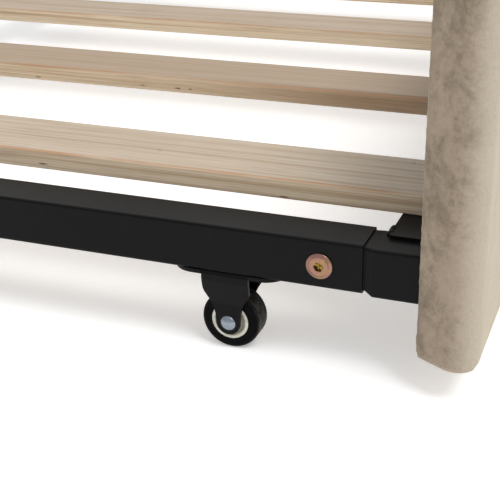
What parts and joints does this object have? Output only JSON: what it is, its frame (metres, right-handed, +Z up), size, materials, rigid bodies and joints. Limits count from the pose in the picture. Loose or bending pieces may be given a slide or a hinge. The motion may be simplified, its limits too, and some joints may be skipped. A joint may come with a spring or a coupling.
{
  "type": "trundle bed",
  "caption": "Low slatted pull-out bed on small fixed wheels, with a steel tube frame, wooden slats and an upholstered velvet front panel.",
  "frame": {"origin": "on the floor, under the middle of the bed's bounding box", "axes": "+X along the bed's length, +Y from the front panel towards the back (the bed pulls out towards -Y), +Z up"},
  "size_m": [2.0314, 0.96, 0.33],
  "materials": {
    "black_powder_coat": "matte black powder coat",
    "black_plastic": "moulded, matte",
    "yellow_zinc_steel": "yellow-passivated zinc with a pink and green sheen",
    "bright_zinc_steel": "bright zinc plate",
    "pine": "planed, unvarnished",
    "white_nylon": "moulded, satin",
    "black_tyre": "smooth, satin",
    "beige_velvet": "short-pile velvet",
    "foam": "upholstery foam",
    "chipboard": "raw chipboard",
    "black_felt": "non-woven lining cloth"
  },
  "bodies": {
    "bed": {"left_end_rail": "black_powder_coat", "right_end_rail": "black_powder_coat", "front_rail": "black_powder_coat", "back_rail": "black_powder_coat", "front_slat_angle": "black_powder_coat", "back_slat_angle": "black_powder_coat", "front_left_stub": "black_powder_coat", "front_right_stub": "black_powder_coat", "back_left_stub": "black_powder_coat", "back_right_stub": "black_powder_coat", "front_left_caster_fork": "black_powder_coat", "front_right_caster_fork": "black_powder_coat", "back_left_caster_fork": "black_powder_coat", "back_right_caster_fork": "black_powder_coat", "stub_caps": "black_plastic", "rail_bolts": "yellow_zinc_steel", "weld_nuts": "bright_zinc_steel", "slat_screws": "bright_zinc_steel", "caster_screws": "bright_zinc_steel", "panel_screws": "bright_zinc_steel", "panel_bolts": "bright_zinc_steel", "front_left_caster_axle": "bright_zinc_steel", "front_right_caster_axle": "bright_zinc_steel", "back_left_caster_axle": "bright_zinc_steel", "back_right_caster_axle": "bright_zinc_steel", "front_left_caster_bush": "bright_zinc_steel", "front_right_caster_bush": "bright_zinc_steel", "back_left_caster_bush": "bright_zinc_steel", "back_right_caster_bush": "bright_zinc_steel", "slat_1": "pine", "slat_2": "pine", "slat_3": "pine", "slat_4": "pine", "slat_5": "pine", "slat_6": "pine", "slat_7": "pine", "slat_8": "pine", "panel_cover": "beige_velvet", "panel_foam": "foam", "panel_board": "chipboard", "panel_lining": "black_felt"},
    "front_left_wheel": {"front_left_caster_core": "white_nylon", "front_left_caster_tyre": "black_tyre"},
    "front_right_wheel": {"front_right_caster_core": "white_nylon", "front_right_caster_tyre": "black_tyre"},
    "back_left_wheel": {"back_left_caster_core": "white_nylon", "back_left_caster_tyre": "black_tyre"},
    "back_right_wheel": {"back_right_caster_core": "white_nylon", "back_right_caster_tyre": "black_tyre"}
  },
  "joints": [
    {"name": "front_left_wheel_spin", "type": "hinge", "parent": "bed", "child": "front_left_wheel", "pos_m": [-0.9735, -0.276, 0.025], "axis": [1, 0, 0], "continuous": true},
    {"name": "front_right_wheel_spin", "type": "hinge", "parent": "bed", "child": "front_right_wheel", "pos_m": [0.9735, -0.276, 0.025], "axis": [1, 0, 0], "continuous": true},
    {"name": "back_left_wheel_spin", "type": "hinge", "parent": "bed", "child": "back_left_wheel", "pos_m": [-0.9735, 0.324, 0.025], "axis": [1, 0, 0], "continuous": true},
    {"name": "back_right_wheel_spin", "type": "hinge", "parent": "bed", "child": "back_right_wheel", "pos_m": [0.9735, 0.324, 0.025], "axis": [1, 0, 0], "continuous": true}
  ]
}
